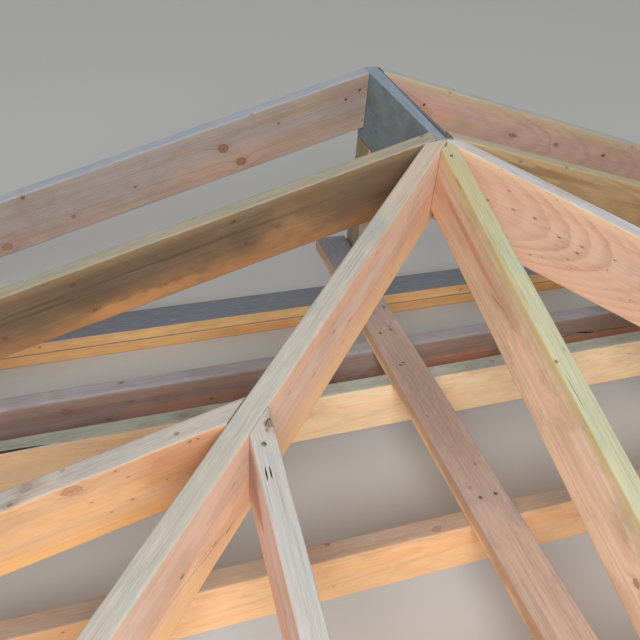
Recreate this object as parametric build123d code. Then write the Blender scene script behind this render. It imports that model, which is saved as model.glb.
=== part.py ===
from build123d import *
import math
import os

# A stick-framed hip roof end, in millimetres. X runs along the back wall, Y towards that wall, Z up.
# The origin is the middle of the frame's footprint, on the underside of the wall plates.

# Layout
span = 3658.0
ridge_length = 436.0
roof_pitch = 16.7
seat_length = 38.0
jack_spacing = 532.0
joist_spacing = 406.0
runner_to_post = 6.0
runner_length = 1829.0

# Sawn stock
thickness = 38.0
edge_radius = 3.0
rafter_depth = 140.0
hip_depth = 184.0
ridge_depth = 184.0
joist_depth = 140.0
plate_width = 89.0
post_width = 89.0
runner_width = 89.0

# Worked out from the sizes above
half_span = span / 2
half_thick = thickness / 2
slope = math.tan(math.radians(roof_pitch))
run = half_span - half_thick
depth = ridge_length + run
back = depth / 2
front = back - depth
ridge_end = back - ridge_length
plate_top = 2 * thickness
rafter_plumb = rafter_depth / math.cos(math.radians(roof_pitch))
ridge_top = plate_top + slope * (run - seat_length) + rafter_plumb
hip_slope = slope / math.sqrt(2)
hip_drop = slope * half_thick / math.sqrt(2)
hip_side = half_thick * math.sqrt(2)
jack_count = int((run - plate_width) // jack_spacing)
spare = 4 * hip_depth

left_face = Plane(origin=(-half_span, 0, 0), z_dir=(1, 0, 0))
front_face = Plane(origin=(0, front, 0), z_dir=(0, 1, 0))
seat_face = Plane(origin=(0, 0, plate_top), z_dir=(0, 0, 1))
ridge_left_face = Plane(origin=(-half_thick, 0, 0), z_dir=(-1, 0, 0))
ridge_end_face = Plane(origin=(0, ridge_end, 0), z_dir=(0, -1, 0))
middle_face = Plane(origin=(0, 0, 0), z_dir=(-1, 0, 0))
hip_outer_face = Plane(origin=(-half_thick - hip_side, ridge_end, 0), z_dir=(-1, 1, 0))
hip_inner_face = Plane(origin=(-half_thick + hip_side, ridge_end, 0), z_dir=(1, -1, 0))
left_roof = Plane(origin=(-half_thick, 0, ridge_top), z_dir=(slope, 0, -1))
right_roof = Plane(origin=(half_thick, 0, ridge_top), z_dir=(-slope, 0, -1))


def stick(width, height, length):
    """Sawn stock along +X with eased edges, the middle of its top face on the X axis."""
    section = Plane.YZ * Pos(0, -height / 2) * RectangleRounded(width, height, edge_radius)
    return extrude(section, length)


def trimmed(solid, *faces):
    """The solid on the side of each plane that its normal points to."""
    for face in faces:
        solid = split(solid, bisect_by=face, keep=Keep.TOP)
    return solid


def sloping(start, heading, steepness, height, reach):
    """A stick that falls away from start along a level heading, plumb in its width."""
    fall = Vector(heading[0], heading[1], 0).normalized() - Vector(0, 0, steepness)
    across = Vector(0, 0, 1).cross(fall)
    seat = Plane(origin=start, x_dir=fall, z_dir=fall.cross(across))
    return seat.location * Pos(-spare, 0, 0) * stick(thickness, height, reach + 2 * spare)


def mirrored(solid):
    return mirror(solid, about=Plane.YZ)


def wall_side_rafter(front_y):
    """A left rafter from the ridge to the side plate, its front face at front_y."""
    rafter = sloping((-half_thick, front_y + half_thick, ridge_top), (-1, 0), slope, rafter_depth, run)
    return trimmed(rafter, ridge_left_face, left_face, seat_face)


def side_jack(front_y):
    """A left jack from the hip to the side plate, its front face at front_y."""
    jack = sloping((-half_thick, front_y + half_thick, ridge_top), (-1, 0), slope, rafter_depth, run)
    return trimmed(jack, hip_outer_face, left_face, seat_face)


def end_jack(middle_x):
    """A jack from the left hip to the front plate, centred on middle_x."""
    jack = sloping((middle_x, ridge_end, ridge_top), (0, -1), slope, rafter_depth, run)
    return trimmed(jack, hip_inner_face, front_face, seat_face)


def hip_rafter():
    """The left hip: two cheek cuts at its head, a seat and a pointed heel at the corner."""
    head = (-half_thick, ridge_end, ridge_top - hip_drop)
    hip = sloping(head, (-1, -1), hip_slope, hip_depth, run * math.sqrt(2))
    return trimmed(hip, ridge_end_face, middle_face, left_face, front_face, seat_face)


def king_rafter():
    """The middle rafter of the end slope, its head pointed to fit between the two hips."""
    king = sloping((0, ridge_end, ridge_top), (0, -1), slope, rafter_depth, run)
    other_hip = Plane(origin=(half_thick - hip_side, ridge_end, 0), z_dir=(-1, -1, 0))
    return trimmed(king, hip_inner_face, other_hip, front_face, seat_face)


def ridge_board():
    board = stick(thickness, ridge_depth, ridge_length)
    return Pos(0, ridge_end, ridge_top) * Rot(0, 0, 90) * board


def ridge_post():
    """Stands on the back plate under the ridge's wall end, its wide faces to the sides."""
    section = Pos(0, back - post_width / 2, plate_top) * RectangleRounded(thickness, post_width, edge_radius)
    return extrude(section, ridge_top - ridge_depth - plate_top)


def ceiling_joist(front_y):
    """Spans the side plates, its top corners clipped to the slope of the roof."""
    joist = Pos(-half_span, front_y + half_thick, plate_top + joist_depth) * stick(thickness, joist_depth, span)
    return trimmed(joist, left_roof, right_roof)


def joist_runner():
    """Lies flat across the joists from the back wall, beside the post."""
    middle_x = -half_thick - runner_to_post - runner_width / 2
    flat = Pos(middle_x, back, plate_top + joist_depth + thickness) * Rot(0, 0, -90)
    return flat * stick(runner_width, thickness, runner_length)


def plate_along_x(middle_y, top, length):
    return Pos(-length / 2, middle_y, top) * stick(plate_width, thickness, length)


def plate_along_y(middle_x, top, start_y, length):
    return Pos(middle_x, start_y, top) * Rot(0, 0, 90) * stick(plate_width, thickness, length)


def wall_plates():
    """Doubled plates on four sides, lapped at the corners."""
    edge = plate_width / 2
    plates = {}
    for side, middle_y in (("front", front + edge), ("back", back - edge)):
        plates[f"lower_plate_{side}"] = plate_along_x(middle_y, thickness, span)
        plates[f"upper_plate_{side}"] = plate_along_x(middle_y, plate_top, span - 2 * plate_width)
    for side, middle_x in (("left", edge - half_span), ("right", half_span - edge)):
        inner = depth - 2 * plate_width
        plates[f"lower_plate_{side}"] = plate_along_y(middle_x, thickness, front + plate_width, inner)
        plates[f"upper_plate_{side}"] = plate_along_y(middle_x, plate_top, front, depth)
    return plates


def joist_fronts():
    """One joist nailed to the last full rafters, the rest set out from the first jack."""
    beside_jack = ridge_end - jack_spacing - thickness
    return [
        ridge_end - thickness,
        beside_jack + joist_spacing,
        beside_jack,
        beside_jack - joist_spacing,
    ]


def both_sides(name, solid):
    return {f"{name}_left": solid, f"{name}_right": mirrored(solid)}


def frame_parts():
    parts = {"ridge_board": ridge_board(), "ridge_post": ridge_post(), "king_rafter": king_rafter()}
    parts.update(both_sides("wall_rafter", wall_side_rafter(back - thickness)))
    parts.update(both_sides("common_rafter", wall_side_rafter(ridge_end)))
    parts.update(both_sides("hip_rafter", hip_rafter()))
    for n in range(1, jack_count + 1):
        parts.update(both_sides(f"side_jack_{n}", side_jack(ridge_end - n * jack_spacing)))
        parts.update(both_sides(f"end_jack_{n}", end_jack(-n * jack_spacing)))
    for n, front_y in enumerate(joist_fronts(), start=1):
        parts[f"ceiling_joist_{n}"] = ceiling_joist(front_y)
    parts["joist_runner"] = joist_runner()
    parts.update(wall_plates())
    return parts


os.makedirs("parts", exist_ok=True)
for name, solid in frame_parts().items():
    export_step(solid, f"parts/{name}.step")
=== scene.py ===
import math
import random
from dataclasses import dataclass, field
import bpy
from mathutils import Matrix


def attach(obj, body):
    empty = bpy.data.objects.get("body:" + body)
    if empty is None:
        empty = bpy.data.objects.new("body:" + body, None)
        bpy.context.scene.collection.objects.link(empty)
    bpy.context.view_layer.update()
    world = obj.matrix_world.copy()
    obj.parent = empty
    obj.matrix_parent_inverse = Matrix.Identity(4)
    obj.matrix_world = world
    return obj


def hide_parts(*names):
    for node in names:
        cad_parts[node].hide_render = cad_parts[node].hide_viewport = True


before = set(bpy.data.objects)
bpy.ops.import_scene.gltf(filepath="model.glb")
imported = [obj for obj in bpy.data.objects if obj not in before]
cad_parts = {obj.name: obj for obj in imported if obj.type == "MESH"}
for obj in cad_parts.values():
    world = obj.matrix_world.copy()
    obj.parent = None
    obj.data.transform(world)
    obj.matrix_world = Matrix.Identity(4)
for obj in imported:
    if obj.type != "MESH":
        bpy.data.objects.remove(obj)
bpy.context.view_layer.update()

from types import SimpleNamespace

import bmesh
import bpy
from mathutils import Matrix, Vector, noise

# A stick-framed hip roof end. Metres, in the frame's own directions: X along the back wall, Y towards it,
# Z up. A stick's own directions are X down its length from its head, Y across, Z out of its top. The looks
# further down give places on a stick in those, in millimetres, and colours as they look, 0 to 255.

mm = 0.001

# Sizes that the part's source has too
edge_radius = 3 * mm
roof_slope = math.tan(math.radians(16.7))

# How finely the sticks are cut, so that their corners can be worn
seen_spacing = 16 * mm
unseen_spacing = 40 * mm
corner_cuts = (1.0 * mm, 2.2 * mm, 4 * mm, 7.5 * mm)
wane_cuts = (1.2 * mm, 3 * mm, 6 * mm, 10 * mm, 15 * mm, 22 * mm)
spare_end = 10 * mm
cut_tolerance = 0.001 * mm
sharpest_smooth_edge = math.radians(32)

# Wear of the long corners: how much rounder it makes them, and its waves in a metre
fine_wear = 1.8 * mm
fine_wear_waves = 14
broad_wear = 1.6 * mm
broad_wear_waves = 3
wane_fade = 80 * mm

# Ends: how far along the stick an end face points at least, and when two faces are in one plane
least_end_slant = 0.02
same_direction = 0.999
same_plane = 0.5 * mm

# Joints between sticks stand open a little at their heads
head_gap = 1.0 * mm

# Cracks, whose faces have a slot of their own, for a material painted dark as the shade inside them. What
# carves cracks and dents stands out of the wood a little.
crack_slot = 1
split_steps = 14
split_stray = 1.6 * mm
split_stray_share = 0.012
tool_clearance = 1 * mm

# Nails. The profile of a head is in shares of its radius and height, from its crown down.
nail_head_radius = 3.4 * mm
nail_head_height = 1.0 * mm
nail_head_profile = ((0, 0.55), (0.55, 0.5), (0.88, 0.36), (1, 0.12), (0.97, -1), (0, -1))
nail_sides = 20
nail_sink = 0.9 * mm
nail_lean = 0.12
dent_radius = 4.9 * mm
dent_depth = 1.5 * mm
dent_play = 0.3 * mm
dent_flare = 0.5 * mm

# A mark this close to the top is on it, and not on a side
top_zone = 2 * mm

# Marks, in millimetres: how deep they go into the wood, how wide the stain round a nail is, and how far
# apart knots are in the sticks that the photograph doesn't show
knot_depth_from_side = 22
knot_depth_from_top = 14
patch_depth = 12
nail_stain = 8
plain_knot_spacing = 320

# Patterns, in waves a metre: in wood, along the grain, across it and out of the top
wander_waves = (1.5, 5, 5)
ripple_waves = (11, 60, 60)
knot_waves = (90, 170, 170)
hair_waves = (12, 800, 800)
streak_waves = (3.2, 210, 210)
band_waves = (1.6, 24, 24)
blotch_waves = (8, 16, 16)
fleck_waves = (30, 160, 160)
pitch_waves = (110, 300, 300)
crack_waves = (160, 160, 160)
rust_waves = (300, 300, 300)

# Camera, at the photograph's place
camera_place = Vector((-0.7164, -0.5571, 1.3586))
camera_ahead = Vector((0.2779, 0.7337, -0.6200))
camera_down = Vector((-0.1378, -0.6083, -0.7817))
camera_lens = 39.73
camera_sensor = 36.0

# Light
sky_strength = 0.52
background_white = 0.9
key_place = Vector((-1.1, -2.2, 2.4))
key_aim = Vector((0.0, 0.2, 0.35))
key_size = 2.0
key_power = 105.0

# Floor
floor_size = 40.0
floor_colour = (0.55, 0.55, 0.54, 1)
floor_roughness = 0.9

UP = Vector((0, 0, 1))
DOWN = Vector((0, 0, -1))
ALONG_WALL = Vector((1, 0, 0))
TO_FRONT = Vector((0, -1, 0))
FALL_LEFT = Vector((-1, 0, -roof_slope))
FALL_RIGHT = Vector((1, 0, -roof_slope))
FALL_FRONT = Vector((0, -1, -roof_slope))
FALL_LEFT_HIP = Vector((-1, -1, -roof_slope))
FALL_RIGHT_HIP = Vector((1, -1, -roof_slope))


def tone(red, green, blue):
    """A colour given as it looks, 0 to 255, for a shader."""
    return Vector([((c / 255 + 0.055) / 1.055) ** 2.4 for c in (red, green, blue)] + [1.0])


# Tones that all the wood shares
fresh_tone = Vector((1, 0.94, 0.86, 1))
bleached_tone = tone(236, 236, 232)
weathered_tone = tone(104, 98, 92)
dirt_tone = tone(96, 90, 82)
fibre_tone = tone(96, 90, 84)
pitch_tone = tone(120, 66, 48)
bark_tone = tone(54, 48, 46)
dusty_bark_tone = tone(96, 88, 84)
dark_knot_tone = tone(76, 50, 40)
red_knot_tone = tone(158, 102, 74)
grey_knot_tone = tone(92, 80, 72)
end_tone = tone(160, 138, 112)
end_late_tone = tone(104, 78, 58)

# How much darker and redder late wood is than the wood beside it
late_share = Vector((0.62, 0.43, 0.33, 1.0))


@dataclass
class Knot:
    """A knot's place on its stick in millimetres, its width across the grain and its length over that."""

    x: float
    y: float
    z: float
    width: float
    stretch: float = 1.4
    dark: float = 0.7
    red: bool = False


@dataclass
class Patch:
    """A patch of another colour with a soft uneven edge: its middle, length and width in millimetres."""

    x: float
    y: float
    z: float
    length: float
    width: float
    colour: tuple
    share: float = 0.5


@dataclass
class Split:
    """A crack along the grain, in millimetres in its stick's directions. Its depth goes along inward."""

    start: tuple
    end: tuple
    inward: tuple
    width: float
    depth: float


@dataclass
class Wane:
    """A stretch of a top corner, on side 1 or -1, that keeps some of the round of the log. In millimetres."""

    side: int
    start: float
    end: float
    first: float
    last: float


@dataclass
class Look:
    """What one stick's wood is like. The pith lies beside the stick, in millimetres across and out of it."""

    face: tuple
    late: tuple = None
    second: tuple = None
    top: tuple = (188, 184, 172)
    top_second: tuple = None
    head: tuple = None
    head_reach: float = 0.0
    top_share: float = 0.9
    # The warm low sides: partly the wood's own tone, partly painted bounce light
    warm_wood_and_bounce: tuple = (230, 176, 126)
    warm_wood_and_bounce_share: float = 0.3
    rim: tuple = None
    rim_share: float = 0.3
    rim_depth: float = 24
    mottle: float = 0.3
    weather: float = 0.15
    bark: tuple = None
    pith: tuple = (60, -140)
    tilt: tuple = (0, 12)
    wander: float = 12
    ring: float = 4.0
    rings: float = 0.25
    pitch: float = 0.0
    knots: list = field(default_factory=list)
    patches: list = field(default_factory=list)
    splits: list = field(default_factory=list)
    wanes: list = field(default_factory=list)
    nails: list = field(default_factory=list)
    seen: bool = True


class Graph:
    """Short calls that add nodes to one node tree."""

    def __init__(self, tree):
        self.tree = tree

    def feed(self, socket, value):
        if isinstance(value, bpy.types.NodeSocket):
            self.tree.links.new(value, socket)
        else:
            socket.default_value = value

    def node(self, kind, inputs=(), **settings):
        made = self.tree.nodes.new(kind)
        for key, value in settings.items():
            setattr(made, key, value)
        for socket, value in dict(inputs).items():
            self.feed(made.inputs[socket], value)
        return made

    def math(self, operation, *values):
        return self.node("ShaderNodeMath", enumerate(values), operation=operation).outputs[0]

    def times(self, *values):
        total = values[0]
        for value in values[1:]:
            total = self.math("MULTIPLY", total, value)
        return total

    def plus(self, *values):
        total = values[0]
        for value in values[1:]:
            total = self.math("ADD", total, value)
        return total

    def most(self, first, second):
        return self.math("MAXIMUM", first, second)

    def swing(self, value, size):
        """A noise from 0 to 1 as one that swings to both sides of 0, size wide in all."""
        return self.times(self.plus(value, -0.5), size)

    def vector(self, operation, *values):
        made = self.node("ShaderNodeVectorMath", enumerate(values), operation=operation)
        return made.outputs["Value" if operation in ("LENGTH", "DOT_PRODUCT") else "Vector"]

    def triple(self, x=0.0, y=0.0, z=0.0):
        return self.node("ShaderNodeCombineXYZ", {"X": x, "Y": y, "Z": z}).outputs[0]

    def noise(self, vector, waves, detail=2.0, roughness=0.5):
        scaled = self.vector("MULTIPLY", vector, waves)
        inputs = {"Vector": scaled, "Scale": 1.0, "Detail": detail, "Roughness": roughness}
        return self.node("ShaderNodeTexNoise", inputs).outputs["Fac"]

    def step(self, value, low, high, out_low=0.0, out_high=1.0):
        """Goes smoothly from out_low to out_high as value goes from low to high."""
        if low > high:
            low, high, out_low, out_high = high, low, out_high, out_low
        inputs = {"Value": value, "From Min": low, "From Max": high, "To Min": out_low, "To Max": out_high}
        return self.node("ShaderNodeMapRange", inputs, interpolation_type="SMOOTHSTEP").outputs["Result"]

    def mix(self, share, first, second):
        made = self.node("ShaderNodeMix", data_type="RGBA")
        for socket, value in ((0, share), (6, first), (7, second)):
            self.feed(made.inputs[socket], value)
        return made.outputs[2]

    def surface(self, inputs, relief, strength, distance):
        """The shader on the material's output, with the relief as bump."""
        bump = self.node("ShaderNodeBump", {"Strength": strength, "Distance": distance, "Height": relief})
        shader = self.node("ShaderNodeBsdfPrincipled", {**inputs, "Normal": bump.outputs[0]})
        self.node("ShaderNodeOutputMaterial", {"Surface": shader.outputs[0]})


def new_material(name):
    """An empty material and the graph of its nodes."""
    made = bpy.data.materials.new(name)
    made.use_nodes = True
    made.node_tree.nodes.clear()
    return made, Graph(made.node_tree)


def add_object(name, data):
    made = bpy.data.objects.new(name, data)
    bpy.context.scene.collection.objects.link(made)
    return made


def knot_group():
    """One knot's heart, its dark rim, and its halo, which also pushes the growth rings aside."""
    tree = bpy.data.node_groups.new("knot", "ShaderNodeTree")
    for name, kind in (("Grain", "Vector"), ("Place", "Vector"), ("Reach", "Vector"), ("Wobble", "Float")):
        tree.interface.new_socket(name, in_out="INPUT", socket_type=f"NodeSocket{kind}")
    for name in ("Heart", "Rim", "Halo"):
        tree.interface.new_socket(name, in_out="OUTPUT", socket_type="NodeSocketFloat")
    g = Graph(tree)
    given = g.node("NodeGroupInput").outputs
    away = g.vector("MULTIPLY", g.vector("SUBTRACT", given["Grain"], given["Place"]), given["Reach"])
    distance = g.plus(g.vector("LENGTH", away), given["Wobble"])
    outer_ring = g.times(g.step(distance, 1.2, 1.0), g.step(distance, 0.75, 0.95))
    inner_ring = g.times(g.step(distance, 0.7, 0.6), g.step(distance, 0.45, 0.55), 0.4)
    middle = g.step(distance, 0.36, 0.16, 0.0, 0.7)
    results = {
        "Heart": g.step(distance, 1.1, 0.75),
        "Rim": g.most(g.most(outer_ring, inner_ring), middle),
        "Halo": g.math("EXPONENT", g.times(distance, distance, -0.22)),
    }
    g.node("NodeGroupOutput", results)
    return tree


def place_and_reach(mark, length, depth_from_side, depth_from_top):
    """A mark's place on its stick, and what to multiply a distance from it by to get 1 at the mark's edge."""
    half = mark.width / 2
    on_top = abs(mark.z) * mm < top_zone
    across, down = (half, depth_from_top) if on_top else (depth_from_side, half)
    return [c * mm for c in (mark.x, mark.y, mark.z)], [1 / (r * mm) for r in (length / 2, across, down)]


def knot_masks(g, knots, grain, wobble):
    """How much a point is a dark knot, a red knot or a knot's halo, and the sum of the knots' pushes."""
    dark, red, halo, push = 0.0, 0.0, 0.0, 0.0
    group = bpy.data.node_groups.get("knot") or knot_group()
    for knot in knots:
        length = knot.width * knot.stretch
        place, reach = place_and_reach(knot, length, knot_depth_from_side, knot_depth_from_top)
        made = g.node("ShaderNodeGroup", node_tree=group)
        for name, value in (("Grain", grain), ("Place", place), ("Reach", reach), ("Wobble", wobble)):
            g.feed(made.inputs[name], value)
        if knot.red:
            red = g.most(red, g.times(made.outputs["Heart"], knot.dark))
            dark = g.most(dark, g.times(made.outputs["Rim"], 0.7 * knot.dark))
        else:
            dark = g.most(dark, g.times(made.outputs["Heart"], knot.dark))
        halo = g.most(halo, g.times(made.outputs["Halo"], knot.dark))
        push = g.plus(push, g.times(made.outputs["Halo"], 0.4 * knot.width * mm))
    return dark, red, halo, push


def grain_of(g, look, seed):
    """What one stick's colours share: places along its grain, knots, growth rings, fibres and blotches."""
    grain = g.node("ShaderNodeAttribute", attribute_name="grain").outputs["Vector"]
    moved = g.vector("ADD", grain, (seed * 3.7, seed * 1.9, seed * 2.3))
    x, y, z = g.node("ShaderNodeSeparateXYZ", {"Vector": grain}).outputs
    knots = look.knots + [Knot(*place, nail_stain, 1.2, 0.3) for place in look.nails]
    dark, red, halo, push = knot_masks(g, knots, grain, g.swing(g.noise(moved, knot_waves), 0.8))

    # Growth rings round the pith
    wander = g.plus(g.noise(moved, wander_waves), -0.5)
    ripple = g.swing(g.noise(moved, ripple_waves, 1.0), 2.2 * mm)
    off_y = g.plus(y, g.times(x, -look.tilt[0] * mm), -look.pith[0] * mm)
    off_z = g.plus(z, g.times(x, -look.tilt[1] * mm), -look.pith[1] * mm)
    radius = g.vector("LENGTH", g.triple(0.0, off_y, off_z))
    radius = g.plus(radius, g.times(wander, look.wander * mm), ripple, push)
    years = g.math("DIVIDE", radius, look.ring * mm)
    uneven = g.noise(g.triple(years, float(seed)), (0.22, 1, 1), 1.0)
    years = g.plus(years, g.times(uneven, 2.6))
    season = g.math("FRACT", years)
    year_noise = g.node("ShaderNodeTexWhiteNoise", {"W": g.math("FLOOR", years)}, noise_dimensions="1D")
    strength = g.step(year_noise.outputs["Value"], 0.0, 1.0, 0.15, 1.0)
    late = g.times(g.step(season, 0.2, 0.85), g.step(season, 1.0, 0.9), strength)

    # Fibres run with the rings
    bend = g.plus(push, g.times(wander, 0.5 * look.wander * mm))
    flow = g.vector("ADD", moved, g.triple(0.0, 0.0, bend))
    return SimpleNamespace(
        grain=grain, x=x, y=y, z=z, dark=dark, red=red, halo=halo, late=late, flow=flow,
        hair=g.noise(flow, hair_waves, 1.0),
        streak=g.noise(flow, streak_waves, 2.0, 0.65),
        band=g.noise(flow, band_waves, 1.0),
        blotch=g.noise(moved, blotch_waves, 4.0, 0.7),
        fleck=g.noise(moved, fleck_waves, 1.0),
    )


def tones_of(look):
    """A stick's colours for its shader. What its look leaves out follows from its other colours."""
    face, top, warm_wood_and_bounce = tone(*look.face), tone(*look.top), tone(*look.warm_wood_and_bounce)
    return SimpleNamespace(
        face=face, top=top, warm_wood_and_bounce=warm_wood_and_bounce,
        late=tone(*look.late) if look.late else face * late_share,
        # A second tone left out lies halfway to the warm low-side tone, which is partly painted bounce light
        second=tone(*look.second) if look.second else face.lerp(warm_wood_and_bounce, 0.5),
        rim=tone(*look.rim) if look.rim else face.lerp(top, 0.6),
        top_second=tone(*look.top_second) if look.top_second else top.lerp(face, 0.5),
        top_shade=top.lerp(weathered_tone, 0.6),
    )


def add_patches(g, wood, colour, patches):
    """A colour with patches of others mixed in. The blotches make their edges uneven."""
    for patch in patches:
        place, reach = place_and_reach(patch, patch.length, patch_depth, patch_depth)
        away = g.vector("LENGTH", g.vector("MULTIPLY", g.vector("SUBTRACT", wood.grain, place), reach))
        away = g.plus(away, g.swing(wood.blotch, 2.4))
        colour = g.mix(g.step(away, 1.15, 0.4, 0.0, patch.share), colour, tone(*patch.colour))
    return colour


def side_colour(g, wood, tones, look, depth):
    """Bands, blotches, growth rings and streaks, warmer low down, partly as the wood's own tone and partly as
    painted bounce light, and a duller rim at the top.
    """
    colour = g.mix(g.step(wood.band, 0.38, 0.64), tones.face, tones.second)
    mottled = g.step(wood.blotch, 0.4, 0.66, 0.0, look.mottle)
    colour = g.mix(mottled, colour, tones.second.lerp(tones.late, 0.4))
    colour = add_patches(g, wood, colour, [patch for patch in look.patches if patch.z])
    ring_share = g.plus(g.times(wood.halo, 0.35), look.rings)
    colour = g.mix(g.times(wood.late, ring_share), colour, tones.late)
    colour = g.mix(g.step(wood.streak, 0.56, 0.76, 0.0, 0.28), colour, tones.late)
    colour = g.mix(g.step(wood.streak, 0.46, 0.28, 0.0, 0.17), colour, tones.face.lerp(fresh_tone, 0.25))
    # Warmer low down: partly the wood's own tone, partly painted bounce light
    level = g.plus(wood.z, g.swing(wood.blotch, 44 * mm))
    colour = g.mix(g.step(level, -0.55 * depth, -depth, 0.0, look.warm_wood_and_bounce_share), colour, tones.warm_wood_and_bounce)
    colour = g.mix(g.step(level, -look.rim_depth * mm, -4 * mm, 0.0, look.rim_share), colour, tones.rim)
    height = g.step(wood.z, -depth, -0.3 * depth, 0.35, 1.0)
    dirt = g.times(g.step(wood.blotch, 0.42, 0.68), height, look.weather)
    return g.mix(dirt, colour, tones.late.lerp(dirt_tone, 0.7))


def add_pitch(g, wood, colour, share):
    """Short dark marks of pitch along the late wood."""
    scaled = g.vector("MULTIPLY", wood.flow, pitch_waves)
    cells = g.node("ShaderNodeTexVoronoi", {"Vector": scaled, "Scale": 1.0}).outputs
    chance = g.node("ShaderNodeSeparateColor", {"Color": cells["Color"]}).outputs[0]
    marks = g.times(g.step(cells["Distance"], 0.36, 0.16), g.step(chance, 0.6, 0.7))
    marks = g.times(marks, g.step(wood.late, 0.25, 0.5), g.step(wood.blotch, 0.44, 0.56), share)
    return g.mix(marks, colour, pitch_tone)


def top_colour(g, wood, tones, look):
    """Wood greyed by weather, of another colour near its head."""
    colour = g.mix(g.step(wood.blotch, 0.42, 0.64, 0.0, 0.7), tones.top, tones.top_second)
    if look.head:
        reach = look.head_reach * mm
        from_head = g.plus(wood.x, g.swing(wood.blotch, 0.25))
        colour = g.mix(g.step(from_head, 1.4 * reach, 0.5 * reach), colour, tone(*look.head))
    colour = add_patches(g, wood, colour, [patch for patch in look.patches if not patch.z])
    colour = g.mix(g.step(wood.fleck, 0.5, 0.68, 0.0, 0.2), colour, tones.top.lerp(bleached_tone, 0.3))
    colour = g.mix(g.step(wood.streak, 0.48, 0.74, 0.0, 0.5), colour, tones.top_shade)
    colour = g.mix(g.times(wood.late, 0.8 * look.rings), colour, tones.top_shade)
    return g.mix(g.step(wood.hair, 0.58, 0.8, 0.0, 0.35), colour, fibre_tone)


def add_bark(g, wood, colour, bark, length, upward, fray):
    """Bark left along one side of the top, from a first to a last distance across."""
    first, last = bark
    inner = g.plus(g.times(wood.x, (last - first) * mm / length), first * mm)
    past = g.plus(wood.y, g.times(inner, -1.0), g.times(fray, 3 * mm))
    share = g.times(g.step(past, -1 * mm, 1.5 * mm), g.step(upward, 0.1, 0.4, 0.0, 0.85))
    return g.mix(share, colour, g.mix(g.step(wood.streak, 0.4, 0.65), dusty_bark_tone, bark_tone))


def wood_material(name, look, length, depth, along, top, seed):
    """Solid wood: growth rings round a pith beside the stick, fibres, knots, a greyed top and cut ends."""
    made, g = new_material(name)
    wood, tones = grain_of(g, look, seed), tones_of(look)
    normal = g.node("ShaderNodeNewGeometry").outputs["Normal"]
    colour = side_colour(g, wood, tones, look, depth)
    if look.pitch:
        colour = add_pitch(g, wood, colour, look.pitch)

    # The top's grey frays over the corners
    fray = g.swing(wood.fleck, 0.7)
    upward = g.step(g.plus(g.vector("DOT_PRODUCT", normal, top), fray), 0.2, 0.75, 0.0, look.top_share)
    colour = g.mix(upward, colour, top_colour(g, wood, tones, look))
    if look.bark:
        colour = add_bark(g, wood, colour, look.bark, length, upward, fray)

    # Knots
    side_knot, top_knot = tones.late.lerp(red_knot_tone, 0.7), tones.top.lerp(grey_knot_tone, 0.6)
    colour = g.mix(g.times(wood.halo, 0.3), colour, tones.late)
    colour = g.mix(wood.red, colour, g.mix(upward, side_knot, top_knot))
    colour = g.mix(wood.dark, colour, dark_knot_tone)

    # Cut ends, and the finest fibres over everything
    endward = g.step(g.math("ABSOLUTE", g.vector("DOT_PRODUCT", normal, along)), 0.45, 0.65)
    end_colour = g.mix(g.times(wood.late, 0.7), tones.face.lerp(end_tone, 0.6), end_late_tone)
    colour = g.mix(endward, colour, end_colour)
    shade = g.plus(g.times(wood.hair, -0.3), 1.15)
    colour = g.vector("MULTIPLY", colour, g.triple(shade, shade, shade))

    rough = g.step(g.plus(wood.hair, g.times(wood.late, -0.25)), 0.2, 0.9, 0.62, 0.86)
    relief = g.plus(g.times(wood.late, 0.3), g.times(wood.hair, 0.35), g.times(wood.streak, 0.5))
    inputs = {"Base Color": colour, "Roughness": rough, "Specular IOR Level": 0.3}
    g.surface(inputs, relief, 0.5, 0.7 * mm)
    return made


def crack_shade_material():
    """The torn wood inside a crack, painted dark as the shade inside it."""
    made, g = new_material("crack")
    torn = g.noise(g.node("ShaderNodeTexCoord").outputs["Object"], crack_waves, 3.0, 0.6)
    colour = g.mix(g.step(torn, 0.35, 0.65), tone(46, 36, 31), tone(80, 62, 51))
    g.surface({"Base Color": colour, "Roughness": 0.9}, torn, 0.6, 0.5 * mm)
    return made


def steel_material():
    """Bright nail steel, dulled and a little rusty."""
    made, g = new_material("nail_steel")
    stain = g.noise(g.node("ShaderNodeTexCoord").outputs["Object"], rust_waves, 3.0, 0.6)
    colour = g.mix(g.step(stain, 0.42, 0.62), tone(122, 120, 118), tone(84, 68, 58))
    rough = g.step(stain, 0.3, 0.7, 0.34, 0.66)
    g.surface({"Base Color": colour, "Roughness": rough, "Metallic": 0.85}, stain, 0.4, 0.2 * mm)
    return made


def stick_directions(node, heading, facing):
    """The change from the frame's directions to the stick's, its size in them, and its length and top."""
    along = heading.normalized()
    top = (facing - along * facing.dot(along)).normalized()
    turn = Matrix((along, top.cross(along), top))
    points = [turn @ v.co for v in node.data.vertices]
    low, high = (Vector([pick(p[i] for p in points) for i in range(3)]) for pick in (min, max))
    origin = Vector((low.x, (low.y + high.y) / 2, high.z))
    return Matrix.Translation(-origin) @ turn.to_4x4(), high - low, along, top


def end_cuts(node, to_stick):
    """The planes that end a stick, read from its faces that aren't parallel to its length."""
    turn = to_stick.to_3x3()
    cuts = []
    for polygon in sorted(node.data.polygons, key=lambda polygon: -polygon.area):
        outward = turn @ polygon.normal
        if abs(outward.x) < least_end_slant:
            continue
        place = to_stick @ polygon.center
        if outward.x < 0:
            place -= outward * head_gap
        known = any(
            outward.dot(direction) > same_direction and abs(outward.dot(place - other)) < same_plane
            for other, direction in cuts
        )
        if not known:
            cuts.append((place, outward))
    return cuts


def cut(made, place, outward, ends=False):
    """Cuts every face along a plane. At an end, what lies outward goes and the cut is closed."""
    everything = made.verts[:] + made.edges[:] + made.faces[:]
    result = bmesh.ops.bisect_plane(
        made, geom=everything, dist=cut_tolerance, plane_co=place, plane_no=outward, clear_outer=ends)
    if ends:
        rim = [e for e in result["geom_cut"] if isinstance(e, bmesh.types.BMEdge)]
        bmesh.ops.contextual_create(made, geom=rim)


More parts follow.
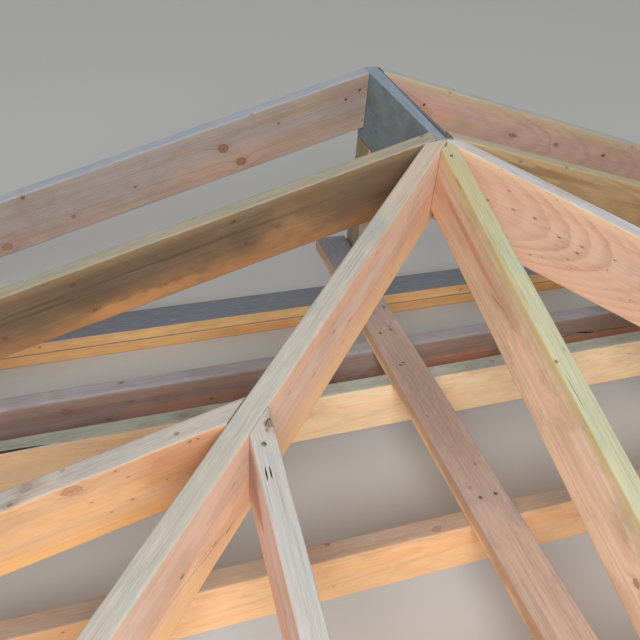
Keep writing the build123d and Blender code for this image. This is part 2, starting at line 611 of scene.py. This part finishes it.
def worn_radius(look, corner, x, seed):
    """How round one long corner is at x: uneven all along, and more where it has wane."""
    fine = max(0.0, noise.noise(Vector((x * fine_wear_waves, seed * 5.1, corner * 3.7))))
    broad = max(0.0, noise.noise(Vector((x * broad_wear_waves, seed * 2.7, corner * 4.1))))
    radius = edge_radius + fine_wear * fine + broad_wear * broad
    for wane in look.wanes:
        start, end = wane.start * mm, wane.end * mm
        if corner == wane.side and start < x < end:
            fade = min(1.0, (x - start) / wane_fade, (end - x) / wane_fade)
            size = wane.first + (wane.last - wane.first) * (x - start) / (end - start)
            radius = max(radius, size * mm * math.sin(fade * math.pi / 2) * (0.9 + 0.3 * fine))
    return radius


def wear_corners(made, size, look, seed):
    """Draws each point near a long corner in to a round. A corner is 1 or -1 by its side, 2 or -2 if low."""
    half = size.y / 2
    radii = {}
    for vertex in made.verts:
        point = vertex.co
        sign = 1 if point.y > 0 else -1
        low = point.z < -size.z / 2
        corner = sign * 2 if low else sign
        key = (corner, round(point.x / mm, 1))
        if key not in radii:
            radii[key] = min(worn_radius(look, corner, point.x, seed), half)
        radius = radii[key]
        down = point.z + size.z if low else -point.z
        offset = Vector((radius - half + sign * point.y, radius - down))
        if min(offset) <= 0 or offset.length <= radius:
            continue
        offset *= radius / offset.length
        point.y = sign * (half - radius + offset.x)
        depth = radius - offset.y
        point.z = depth - size.z if low else -depth


def stick_block(size, ends, look, seed):
    """A squared stick with worn corners, made a little too long and then cut to its ends."""
    made = bmesh.new()
    bmesh.ops.create_cube(made, size=1.0)
    length = size.x + 2 * spare_end
    place = Matrix.Translation((size.x / 2, 0, -size.z / 2)) @ Matrix.Diagonal((length, size.y, size.z, 1))
    made.transform(place)
    count = max(2, round(size.x / (seen_spacing if look.seen else unseen_spacing)))
    for i in range(count + 1):
        cut(made, Vector((size.x * i / count, 0, 0)), Vector((1, 0, 0)))
    for distance in wane_cuts if look.wanes else corner_cuts:
        for sign in (-1, 1):
            cut(made, Vector((0, sign * (size.y / 2 - distance), 0)), Vector((0, 1, 0)))
        for level in (-distance, distance - size.z):
            cut(made, Vector((0, 0, level)), Vector((0, 0, 1)))
    wear_corners(made, size, look, seed)
    for place, outward in ends:
        cut(made, place, outward, ends=True)
    return made


def add_wedge(made, split, seed):
    """A thin closed wedge that widens in its middle and strays a little, to take a crack out of a stick."""
    start, end = Vector(split.start) * mm, Vector(split.end) * mm
    inward = Vector(split.inward)
    clear = inward * tool_clearance
    straying = min(split_stray, split_stray_share * (end - start).length)
    sideways = (end - start).normalized().cross(inward)
    rows = []
    for i in range(split_steps + 1):
        share = i / split_steps
        swell = max(0.05, math.sin(math.pi * share) ** 0.7)
        stray = noise.noise(Vector((share * 4, seed * 1.7, 0))) * straying * swell
        middle = start.lerp(end, share) + sideways * stray
        half = sideways * (split.width * mm * swell / 2)
        tip = middle + inward * (split.depth * mm * swell)
        rows.append([made.verts.new(c) for c in (middle - half - clear, middle + half - clear, tip)])
    for near, far in zip(rows, rows[1:]):
        for i in range(3):
            made.faces.new((near[i], near[i - 2], far[i - 2], far[i]))
    made.faces.new(rows[0][::-1])
    made.faces.new(rows[-1])
    for polygon in made.faces:
        polygon.material_index = crack_slot


def outward_at(spot):
    """The way out of a stick at a place on its top or side."""
    return UP if abs(spot.z) < top_zone else Vector((0, math.copysign(1, spot.y), 0))


def add_dent(made, spot):
    """A shallow bowl, to press the wood in round a nail."""
    outward = outward_at(spot)
    middle = spot + outward * ((tool_clearance - dent_depth) / 2)
    turn = outward.to_track_quat("Z", "Y").to_matrix().to_4x4()
    bmesh.ops.create_cone(
        made, segments=nail_sides, cap_ends=True, radius1=nail_head_radius + dent_play,
        radius2=dent_radius + dent_flare, depth=dent_depth + tool_clearance,
        matrix=Matrix.Translation(middle) @ turn)


def carve(piece, look, to_frame, seed):
    """Takes the cracks and the nails' dents out of a stick."""
    tools = bmesh.new()
    for number, split in enumerate(look.splits):
        add_wedge(tools, split, seed + number)
    for place in look.nails:
        add_dent(tools, Vector(place) * mm)
    if not tools.verts:
        tools.free()
        return
    bmesh.ops.recalc_face_normals(tools, faces=tools.faces)
    tools.transform(to_frame)
    mesh = bpy.data.meshes.new("tools")
    for _ in range(crack_slot + 1):
        mesh.materials.append(None)
    tools.to_mesh(mesh)
    tools.free()
    carver = add_object("tools", mesh)
    modifier = piece.modifiers.new("carve", "BOOLEAN")
    modifier.object = carver
    modifier.solver = "EXACT"
    shown = piece.evaluated_get(bpy.context.evaluated_depsgraph_get())
    carved = bpy.data.meshes.new_from_object(shown)
    piece.modifiers.clear()
    piece.data = carved
    bpy.data.objects.remove(carver)


def smooth_rounds(mesh):
    """Shades rounds smooth and keeps edges sharp."""
    made = bmesh.new()
    made.from_mesh(mesh)
    for polygon in made.faces:
        polygon.smooth = True
    for edge in made.edges:
        edge.smooth = edge.calc_face_angle(math.pi) < sharpest_smooth_edge
    made.to_mesh(mesh)
    made.free()


def dress(name, heading, facing, look, seed):
    """A worn copy of one stick, with its own wood, stands for the plain one."""
    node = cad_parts[name]
    to_stick, size, along, top = stick_directions(node, heading, facing)
    to_frame = to_stick.inverted()
    made = stick_block(size, end_cuts(node, to_stick), look, seed)
    made.transform(to_frame)
    piece = add_object(f"{name}_wood", bpy.data.meshes.new(f"{name}_wood"))
    piece.data.materials.append(wood_material(f"{name}_wood", look, size.x, size.z, along, top, seed))
    if look.splits:
        piece.data.materials.append(bpy.data.materials.get("crack") or crack_shade_material())
    made.to_mesh(piece.data)
    made.free()
    carve(piece, look, to_frame, seed)
    mesh = piece.data
    smooth_rounds(mesh)
    grain = mesh.attributes.new("grain", "FLOAT_VECTOR", "POINT")
    for vertex, place in zip(mesh.vertices, grain.data):
        place.vector = to_stick @ vertex.co
    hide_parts(name)
    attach(piece, "root")
    return to_frame


def add_nail_head(made, to_frame, place, seed):
    """A round head with a low crown, driven a little too deep and askew."""
    spot = Vector(place) * mm
    outward = outward_at(spot)
    spot -= outward * nail_sink
    lean = Vector([noise.noise(Vector((seed * 1.3, i, 0.5))) * nail_lean for i in range(3)])
    turn = (outward + lean).to_track_quat("Z", "Y").to_matrix().to_4x4()
    to_place = to_frame @ Matrix.Translation(spot) @ turn
    turns = [2 * math.pi * i / nail_sides for i in range(nail_sides)]
    rings = []
    for share, level in nail_head_profile:
        reach, height = share * nail_head_radius, level * nail_head_height
        if share:
            spots = [Vector((reach * math.cos(t), reach * math.sin(t), height)) for t in turns]
            rings.append([made.verts.new(to_place @ s) for s in spots])
        else:
            rings.append([made.verts.new(to_place @ Vector((0, 0, height)))] * nail_sides)
    for upper, lower in zip(rings, rings[1:]):
        for i in range(nail_sides):
            corners = (upper[i - 1], lower[i - 1], lower[i], upper[i])
            made.faces.new(list(dict.fromkeys(corners)))


def heading_of(name):
    """Which way a stick's length runs from its head or its first end."""
    left = name.endswith("left")
    if name.startswith("hip"):
        return FALL_LEFT_HIP if left else FALL_RIGHT_HIP
    if name.startswith(("king", "end_jack")):
        return FALL_FRONT
    if name.startswith(("wall", "common", "side_jack")):
        return FALL_LEFT if left else FALL_RIGHT
    if name == "ridge_post":
        return DOWN
    if name in ("ridge_board", "joist_runner") or "plate" in name and name.endswith(("left", "right")):
        return TO_FRONT
    return ALONG_WALL


def plain_look(name, facing):
    """Wood for a stick that the photograph doesn't show, with a few knots of its own."""
    draw = random.Random(name)
    size = stick_directions(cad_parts[name], heading_of(name), facing)[1]
    length, half, depth = size.x / mm, size.y / mm / 2, size.z / mm
    knots = []
    for _ in range(max(2, round(length / plain_knot_spacing))):
        place = (draw.uniform(60, length - 60), draw.choice((-half, half)), draw.uniform(12 - depth, -12))
        knots.append(Knot(*place, draw.uniform(5, 16), draw.uniform(1.2, 1.8), draw.uniform(0.4, 0.75), True))
    lighter = draw.uniform(-12, 10)
    return Look(
        face=(204 + lighter, 166 + lighter, 138 + lighter), knots=knots,
        pith=(draw.choice((-1, 1)) * draw.uniform(60, 170), draw.uniform(-150, 10)),
        tilt=(draw.uniform(-20, 20), draw.uniform(-20, 20)), ring=draw.uniform(3.4, 5.0), seen=False,
    )


# The wood of each stick that the photograph shows
looks = {
    # Painted shade: the wall rafters are greyer and darker than the rest, as the eave shades them
    "wall_rafter_left": Look(
        face=(160, 150, 144), second=(160, 138, 122), top=(154, 164, 178), top_second=(170, 174, 176),
        rim=(170, 160, 142), warm_wood_and_bounce=(188, 152, 130), pith=(90, -150), tilt=(6, 20), ring=4.8, rings=0.34,
        knots=[
            Knot(905, 19, -8, 9, 1.4, 0.6), Knot(820, 19, -100, 9, 1.3, 0.5),
            Knot(650, 19, -80, 6, 1.3, 0.6), Knot(1000, 19, -117, 18, 1.3, 0.5, True),
            Knot(410, 19, -62, 22, 1.1, 0.85, True), Knot(378, 19, -112, 20, 1.2, 0.85, True),
            Knot(257, 19, -48, 7, 1.2, 0.6), Knot(1240, 19, -60, 14, 1.3, 0.6, True),
            Knot(1520, 19, -30, 9), Knot(1710, 19, -95, 12, 1.3, 0.6, True), Knot(317, 17, -1, 4, 1.2, 0.5),
        ],
        patches=[Patch(430, 19, -105, 300, 80, (198, 158, 138), 0.35)],
        nails=[(34, 19, -37), (74, 19, -48)],
    ),
    "common_rafter_left": Look(
        face=(120, 96, 72), late=(80, 64, 50), second=(110, 91, 70), top=(166, 158, 136),
        top_second=(152, 148, 136), warm_wood_and_bounce=(196, 138, 86), warm_wood_and_bounce_share=0.5, rim=(146, 123, 90), rim_share=0.6,
        mottle=0.5, weather=0.3, pith=(150, -90), tilt=(14, -22), ring=5.5, rings=0.22,
        knots=[
            Knot(460, 19, -19, 8, 1.5, 0.5), Knot(495, 19, -45, 6, 1.6, 0.4),
            Knot(450, 19, -80, 8, 1.4, 0.45), Knot(810, 19, -30, 10, 1.5, 0.4),
            Knot(795, 19, -106, 8, 1.4, 0.5), Knot(985, 19, -95, 10, 1.5, 0.4),
            Knot(533, -15, 0, 5, 1.2, 0.5), Knot(21, -10, 0, 6, 1.6, 0.6),
            Knot(1290, 19, -70, 12, 1.4, 0.5), Knot(1610, 19, -40, 10, 1.4, 0.5),
        ],
        patches=[
            # Partly the wood's own tone, partly painted bounce light: an orange patch low on the side
            Patch(350, 19, -95, 150, 70, (172, 124, 80), 0.5),
            Patch(355, 19, -42, 60, 90, (150, 120, 86), 0.35),
            Patch(455, 19, -75, 70, 100, (88, 72, 54), 0.5),
            Patch(785, 19, -70, 160, 60, (90, 73, 54), 0.5),
            Patch(585, 19, -40, 150, 50, (98, 81, 60), 0.4),
            Patch(185, 19, -78, 170, 80, (92, 78, 60), 0.45),
            # Partly the wood's own tone, partly painted bounce light: an orange patch low on the side
            Patch(670, 19, -122, 300, 40, (200, 144, 90), 0.55),
            Patch(600, 19, -48, 760, 10, (76, 58, 42), 0.5),
            Patch(930, 19, -62, 300, 8, (76, 58, 42), 0.45),
        ],
    ),
    # Painted shade: greyer and darker than the rest, as the eave shades it
    "wall_rafter_right": Look(
        face=(188, 158, 146), second=(188, 160, 136), top=(176, 176, 158), top_second=(164, 172, 174),
        rim=(196, 182, 146), rim_share=0.5, warm_wood_and_bounce=(214, 164, 132), pith=(-190, -80), tilt=(-70, 10), ring=5,
        rings=0.3,
        knots=[
            Knot(466, -19, -69, 13, 2.0, 0.6, True), Knot(468, -19, -69, 6, 1.4, 0.7),
            Knot(628, -19, -62, 13, 1.4, 0.6, True), Knot(628, -19, -62, 6, 1.3, 0.6),
            Knot(820, -19, -56, 12, 1.3, 0.75), Knot(210, -19, -4, 6, 1.4, 0.35),
            Knot(910, -19, -8, 8, 1.3, 0.4), Knot(1210, -19, -90, 14, 1.3, 0.6, True),
            Knot(1600, -19, -45, 11),
        ],
        patches=[
            Patch(150, -19, -62, 260, 70, (206, 150, 134), 0.5),
            Patch(330, -19, -30, 300, 36, (196, 168, 136), 0.35),
        ],
        nails=[(150, -19, -53)],
    ),
    "common_rafter_right": Look(
        face=(181, 151, 114), late=(124, 100, 68), second=(174, 144, 104), top=(176, 168, 142),
        rim=(188, 165, 122), warm_wood_and_bounce=(190, 146, 102), pith=(-130, -70), tilt=(-60, -14), ring=6.5, rings=0.55,
        mottle=0.35,
        knots=[
            Knot(195, -19, -15, 5, 1.3, 0.6), Knot(328, -19, -2, 7, 1.5, 0.4),
            Knot(690, -19, -90, 10, 1.5, 0.5), Knot(1100, -19, -50, 12, 1.3, 0.6, True),
            Knot(1480, -19, -100, 10),
        ],
        patches=[
            Patch(320, -19, -27, 440, 20, (128, 102, 66), 0.65),
            Patch(640, -19, -52, 300, 24, (140, 110, 72), 0.5),
        ],
    ),
    "hip_rafter_right": Look(
        face=(208, 175, 153), second=(212, 170, 146), top=(194, 197, 202), top_second=(184, 176, 166),
        rim=(222, 190, 150), rim_share=0.7, warm_wood_and_bounce=(234, 190, 158), pith=(-170, -82), tilt=(-130, 0),
        wander=7, ring=6.5, rings=0.5, pitch=0.8, mottle=0.2,
        knots=[
            Knot(138, -19, -79, 3, 2.6), Knot(170, -19, -38, 4, 2.4, 0.5), Knot(195, -19, -72, 3, 3.0),
            Knot(243, -19, -67, 4, 2.2), Knot(273, -19, -150, 4, 1.6, 0.5), Knot(306, -19, -81, 3, 2.4),
            Knot(345, -19, -119, 3, 2.0, 0.5), Knot(355, -19, -95, 4, 2.2), Knot(356, -19, -77, 3, 2.4),
            Knot(425, -19, -70, 3, 2.4), Knot(424, -19, -98, 3, 2.4, 0.6),
            Knot(900, -19, -60, 12, 1.3, 0.6, True), Knot(1500, -19, -110, 14, 1.3, 0.6, True),
            Knot(2100, -19, -70, 11),
        ],
        patches=[Patch(70, -19, -60, 130, 100, (216, 156, 136), 0.4)],
    ),
    "hip_rafter_left": Look(
        face=(222, 192, 172), second=(226, 184, 156), top=(170, 168, 158), top_second=(150, 158, 154),
        head=(188, 171, 153), head_reach=240, warm_wood_and_bounce=(250, 200, 138), warm_wood_and_bounce_share=0.7, rim=(204, 178, 156),
        pith=(160, -80), tilt=(4, 16), rings=0.2,
        knots=[
            Knot(356, 19, -23, 5, 3.6, 0.35), Knot(274, 19, -157, 5, 3.0, 0.35),
            Knot(468, 19, -95, 4, 3.4, 0.5), Knot(532, 19, -60, 4, 3.0, 0.45),
            Knot(497, 19, -126, 4, 3.0, 0.5), Knot(608, 19, -94, 4, 3.2, 0.45),
            Knot(689, 19, -44, 4, 3.0, 0.4), Knot(895, 19, -148, 5, 3.4, 0.45),
            Knot(929, 19, -129, 4, 3.0, 0.5), Knot(859, 19, -63, 4, 3.0, 0.4),
            Knot(1000, 19, -90, 7, 1.5, 0.6), Knot(1450, 19, -70, 12, 1.3, 0.6, True),
            Knot(1930, 19, -120, 14, 1.3, 0.6, True), Knot(2320, 19, -50, 10),
        ],
        patches=[
            # Painted bounce light: the low side paler here
            Patch(1060, 19, -146, 560, 120, (255, 210, 160), 0.6),
            Patch(960, 0, 0, 420, 70, (150, 146, 132), 0.4),
        ],
        splits=[
            Split((370, 6, 0), (470, 7, 0), (0, 0, -1), 0.6, 4),
            Split((850, 19, -155), (1065, 19, -99), (0, -1, 0), 1.1, 6),
            Split((905, 19, -131), (985, 19, -111), (0, -1, 0), 0.8, 4),
        ],
    ),
    "king_rafter": Look(
        face=(222, 194, 166), second=(216, 178, 148), late=(164, 118, 94), top=(180, 180, 150),
        top_second=(160, 172, 148), head=(180, 172, 134), head_reach=260, warm_wood_and_bounce=(240, 202, 160),
        rim=(206, 192, 136), rim_share=0.8, rim_depth=40, mottle=0.2, pith=(-150, -70), tilt=(-8, 20),
        rings=0.3,
        wanes=[Wane(-1, 170, 620, 4, 7)],
        knots=[
            Knot(549, -16, -1, 5, 1.5, 0.6), Knot(529, 8, 0, 5, 1.4, 0.25), Knot(120, -19, -6, 4, 8.0, 0.5),
            Knot(900, -19, -80, 12, 1.3, 0.6, True), Knot(1380, -19, -50, 14, 1.3, 0.6, True),
        ],
        patches=[
            Patch(240, -19, -64, 340, 20, (170, 114, 88), 0.45),
            # Painted bounce light: the low side paler here
            Patch(700, -19, -80, 640, 130, (255, 218, 188), 0.6),
            Patch(300, -15, 0, 300, 10, (150, 132, 92), 0.5),
        ],
        splits=[
            Split((340, -19, -78), (402, -19, -66), (0, 1, 0), 1.6, 10),
            Split((575, -14, 0), (648, -12, 0), (0, 0, -1), 1.2, 7),
            Split((5, 0, 0), (19, -12, 0), (0, 0, -1), 2.6, 9),
        ],
        nails=[(44, -6, 0)],
    ),
    "ridge_board": Look(
        face=(124, 138, 150), late=(90, 92, 94), second=(126, 134, 134), top=(134, 148, 163),
        top_second=(126, 139, 152), warm_wood_and_bounce=(128, 136, 136), rim=(128, 136, 138), warm_wood_and_bounce_share=0.4, mottle=0.6,
        weather=0.3, pith=(60, -190), tilt=(0, 8), ring=3.4, rings=0.08, top_share=0.96, bark=(14, 0),
        wanes=[Wane(1, -100, 560, 5, 9)],
        knots=[Knot(300, -19, -60, 6, 1.4, 0.4), Knot(120, -19, -120, 6, 1.4, 0.4)],
    ),
    "ridge_post": Look(
        face=(162, 148, 120), late=(116, 100, 76), top=(222, 200, 166), warm_wood_and_bounce=(150, 132, 102),
        rim=(150, 136, 112), pith=(130, -30), rings=0.25,
        knots=[Knot(200, 19, -40, 9, 1.4, 0.5), Knot(390, 19, -60, 7, 1.4, 0.5)],
    ),
    "side_jack_1_left": Look(
        face=(216, 174, 136), second=(226, 180, 126), top=(177, 171, 160), top_second=(158, 160, 162),
        warm_wood_and_bounce=(244, 188, 112), warm_wood_and_bounce_share=0.6, rim=(204, 164, 130), pith=(140, -70), tilt=(10, 18), ring=4.6,
        knots=[
            Knot(115, 2, 0, 7, 1.3, 0.5), Knot(290, -12, 0, 6, 1.3, 0.35),
            Knot(346, -7, 0, 12, 1.4, 0.45, True), Knot(370, 12, 0, 7, 1.4, 0.45),
            Knot(100, 19, -8, 5, 1.5, 0.5), Knot(88, 19, -9, 4, 1.5, 0.5), Knot(215, 19, -9, 4, 1.5, 0.5),
            Knot(158, 19, -68, 4, 1.5, 0.4), Knot(219, 19, -83, 5, 1.6, 0.4),
            Knot(284, 19, -14, 18, 1.6, 0.4, True), Knot(272, 19, -54, 4, 1.4, 0.4),
            Knot(256, 19, -92, 4, 1.5, 0.4), Knot(205, 19, -31, 4, 1.6, 0.4),
            Knot(760, 19, -80, 12, 1.3, 0.6, True), Knot(1150, 19, -50, 11),
        ],
        patches=[
            # Painted shade: the side darker near its head, beside the hip
            Patch(100, 19, -36, 270, 130, (168, 112, 76), 0.65),
            Patch(346, -7, 0, 70, 30, (116, 113, 108), 0.5),
            Patch(372, 12, 0, 60, 20, (108, 106, 102), 0.5),
        ],
    ),
    "end_jack_1_left": Look(
        face=(218, 194, 182), second=(216, 176, 152), top=(160, 164, 164), top_second=(170, 166, 157),
        warm_wood_and_bounce=(240, 188, 150), rim=(214, 190, 176), pith=(-140, -90), tilt=(-12, 14),
        knots=[
            Knot(30, 12, 0, 14, 1.2, 0.5), Knot(23, 15, 0, 4, 1.2, 0.9), Knot(39, 7, 0, 6, 1.4, 0.5),
            Knot(280, -19, -60, 5, 2.0, 0.5), Knot(700, -19, -70, 11, 1.3, 0.6, True),
            Knot(1080, -19, -100, 9),
        ],
        patches=[
            Patch(60, -19, -80, 160, 140, (140, 88, 66), 0.7),
            Patch(30, 12, 0, 60, 30, (132, 114, 96), 0.6),
        ],
        splits=[
            Split((94, -9, 0), (118, -10, 0), (0, 0, -1), 2.6, 8),
            Split((94, -3, 0), (116, -3, 0), (0, 0, -1), 2.6, 8),
            Split((20, 14, 0), (34, 5, 0), (0, 0, -1), 1.5, 6),
        ],
        nails=[(60, -2, 0)],
    ),
    "ceiling_joist_1": Look(
        face=(156, 141, 133), late=(108, 80, 66), second=(152, 127, 116), top=(162, 155, 159),
        top_second=(144, 136, 138), warm_wood_and_bounce=(228, 152, 110), warm_wood_and_bounce_share=0.8, rim=(154, 142, 137),
        pith=(-120, -160), tilt=(2, 6), rings=0.2,
        wanes=[Wane(-1, 300, 3300, 9, 7)],
        knots=[
            Knot(985, -19, -36, 16, 1.5, 0.4, True), Knot(1125, -19, -38, 8, 1.4, 0.4),
            Knot(1310, -19, -72, 8, 1.4, 0.5), Knot(1070, -19, -82, 7, 1.4, 0.4),
            Knot(1110, 9, 0, 9, 1.6, 0.4), Knot(620, -19, -60, 12, 1.4, 0.5, True),
            Knot(2750, -19, -50, 13, 1.4, 0.5, True),
        ],
        patches=[
            Patch(920, -19, -52, 320, 40, (116, 94, 88), 0.4),
            # Painted bounce light: a lighter orange patch on the right part of the side
            Patch(2430, -19, -92, 560, 60, (218, 158, 122), 0.6),
            Patch(1230, -19, -22, 520, 24, (178, 148, 136), 0.4),
            Patch(1300, -19, -72, 620, 40, (192, 134, 114), 0.5),
            # Painted bounce light: a lighter orange patch on the right part of the side
            Patch(1940, -19, -80, 540, 50, (222, 150, 114), 0.6),
        ],
        splits=[
            Split((2282, -19, -68), (2324, -19, -56), (0, 1, 0), 2.6, 10),
            Split((2329, -19, -55), (2398, -19, -66), (0, 1, 0), 6, 14),
            Split((2280, -19, -48), (2320, -19, -52), (0, 1, 0), 1.6, 8),
            Split((2405, -19, -62), (2530, -19, -67), (0, 1, 0), 2.0, 8),
        ],
    ),
    # The pale face: partly fresh wood, partly painted bounced sunlight
    "ceiling_joist_2": Look(
        face=(246, 220, 180), second=(246, 212, 170), top=(160, 166, 156), top_second=(122, 134, 132),
        warm_wood_and_bounce=(246, 206, 156), rim=(232, 206, 170), pith=(-170, -70), tilt=(-30, 5), rings=0.22, ring=4.6,
        knots=[
            Knot(1230, 1, 0, 12, 1.5, 0.5, True), Knot(1252, -8, 0, 5, 1.5, 0.5),
            Knot(1995, 0, 0, 11, 1.2, 0.5, True), Knot(1922, -5, 0, 5, 1.2, 0.5),
            Knot(2313, -19, -22, 5, 1.4, 0.4), Knot(2410, -19, -41, 5, 1.4, 0.4),
            Knot(560, -19, -70, 12, 1.3, 0.6, True), Knot(2990, -19, -60, 11, 1.3, 0.6, True),
        ],
        patches=[
            Patch(900, 0, 0, 340, 30, (110, 122, 121), 0.35),
            Patch(1240, 0, 0, 90, 34, (108, 114, 108), 0.6),
            Patch(1960, 4, 0, 160, 20, (118, 128, 126), 0.4),
            Patch(2400, 0, 0, 440, 36, (124, 124, 114), 0.45),
        ],
        splits=[Split((700, -13, 0), (955, -16, 0), (0, 0, -1), 7, 14)],
    ),
    # The pale face: partly fresh wood, partly painted bounced sunlight
    "ceiling_joist_3": Look(
        face=(246, 200, 152), second=(246, 192, 138), top=(146, 134, 126), top_second=(154, 126, 102),
        warm_wood_and_bounce=(250, 202, 148), rim=(226, 178, 136), pith=(-150, -30), tilt=(-30, -6), ring=5, top_share=0.82,
        knots=[
            Knot(1649, -8, 0, 12, 1.6, 0.45, True), Knot(1435, 15, 0, 9, 1.4, 0.5),
            Knot(1444, -19, -94, 6, 1.5, 0.3), Knot(961, -19, -19, 5, 1.4, 0.5),
            Knot(430, -19, -80, 12, 1.3, 0.6, True), Knot(2600, -19, -70, 12, 1.3, 0.6, True),
            Knot(3150, -19, -40, 9),
        ],
    ),
    "joist_runner": Look(
        face=(206, 172, 144), second=(204, 160, 126), late=(150, 112, 92), top=(176, 152, 140),
        top_second=(160, 136, 126), head=(126, 134, 146), head_reach=300, warm_wood_and_bounce=(252, 208, 152),
        warm_wood_and_bounce_share=0.7, pith=(-20, -150), tilt=(24, 4),
        knots=[
            Knot(358, 28, 0, 9, 1.5, 0.5), Knot(436, 11, 0, 5, 1.6, 0.5), Knot(747, -24, 0, 6, 1.5, 0.3),
            Knot(894, 16, 0, 6, 1.5, 0.35), Knot(946, -22, 0, 7, 1.4, 0.4),
            Knot(1560, 18, 0, 12, 1.3, 0.5, True),
        ],
        patches=[
            # Painted light: the top darker in its middle and lighter towards its front end, where the sun
            # falls
            Patch(700, 0, 0, 560, 110, (136, 112, 98), 0.55),
            Patch(1260, 0, 0, 560, 110, (204, 168, 140), 0.55),
        ],
        nails=[
            (447, 11, 0), (455, -20, 0), (570, -7, 0), (577, -16, 0), (973, -13, 0), (972, 21, 0),
            (1393, -14, 0), (1390, 20, 0),
        ],
    ),
    # The plates' bright faces: partly their own pale wood, partly painted sunlight
    "upper_plate_back": Look(
        face=(250, 206, 142), second=(244, 188, 128), top=(104, 116, 130), top_second=(118, 122, 126),
        warm_wood_and_bounce=(242, 190, 122), rim=(224, 184, 140), pith=(-120, -110), rings=0.2, top_share=0.96,
        knots=[
            Knot(823, -44, -15, 7, 1.5, 0.4), Knot(2100, -44, -20, 7, 1.4, 0.5),
            Knot(2870, -44, -14, 8, 1.4, 0.5),
        ],
        nails=[(1433, 11, 0)],
    ),
    "lower_plate_back": Look(
        face=(242, 192, 128), second=(238, 180, 116), top=(104, 116, 130), warm_wood_and_bounce=(240, 184, 114),
        rim=(228, 180, 122), pith=(-90, -110), ring=5, rings=0.2,
        knots=[Knot(1320, -44, -22, 5, 1.4, 0.4), Knot(2400, -44, -12, 7, 1.4, 0.4)],
    ),
}

# Sticks, and the nails' heads as one piece
nail_heads = bmesh.new()
for number, name in enumerate(sorted(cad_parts), start=1):
    facing = TO_FRONT if name == "ridge_post" else UP
    look = looks.get(name) or plain_look(name, facing)
    to_frame = dress(name, heading_of(name), facing, look, number)
    for count, place in enumerate(look.nails):
        add_nail_head(nail_heads, to_frame, place, number + 0.1 * count)
bmesh.ops.recalc_face_normals(nail_heads, faces=nail_heads.faces)
nail_mesh = bpy.data.meshes.new("nail_heads")
nail_heads.to_mesh(nail_mesh)
nail_heads.free()
smooth_rounds(nail_mesh)
nail_mesh.materials.append(steel_material())
nails = add_object("nail_heads", nail_mesh)
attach(nails, "root")

# Floor
half = floor_size / 2
floor_corners = [(-half, -half, 0), (half, -half, 0), (half, half, 0), (-half, half, 0)]
floor_mesh = bpy.data.meshes.new("floor")
floor_mesh.from_pydata(floor_corners, [], [(0, 1, 2, 3)])
floor_material = bpy.data.materials.new("floor")
floor_material.use_nodes = True
floor_shader = floor_material.node_tree.nodes["Principled BSDF"]
floor_shader.inputs["Base Color"].default_value = floor_colour
floor_shader.inputs["Roughness"].default_value = floor_roughness
floor_mesh.materials.append(floor_material)
floor = add_object("floor", floor_mesh)

# Sky, pale to the eye and to gloss, plain to the object
world = bpy.data.worlds.new("sky")
bpy.context.scene.world = world
world.use_nodes = True
world.node_tree.nodes.clear()
g = Graph(world.node_tree)
rays = g.node("ShaderNodeLightPath").outputs
seen = g.most(rays["Is Camera Ray"], g.most(rays["Is Glossy Ray"], rays["Is Transmission Ray"]))
strength = g.plus(g.times(seen, background_white - sky_strength), sky_strength)
sky = g.node("ShaderNodeBackground", {"Color": (1, 1, 1, 1), "Strength": strength})
g.node("ShaderNodeOutputWorld", {"Surface": sky.outputs[0]})

# Key lamp
key = add_object("key", bpy.data.lights.new("key", "AREA"))
key.data.shape = "DISK"
key.data.size = key_size
key.data.energy = key_power
key.location = key_place
key.rotation_euler = (key_aim - key_place).to_track_quat("-Z", "Y").to_euler()

# Camera
camera = add_object("camera", bpy.data.cameras.new("camera"))
camera.data.lens = camera_lens
camera.data.sensor_width = camera_sensor
right = camera_down.cross(camera_ahead).normalized()
turn = Matrix((right, -camera_down, -camera_ahead)).transposed().to_4x4()
camera.matrix_world = Matrix.Translation(camera_place) @ turn
bpy.context.scene.camera = camera
bpy.context.scene.view_settings.view_transform = "Standard"

bpy.context.view_layer.update()
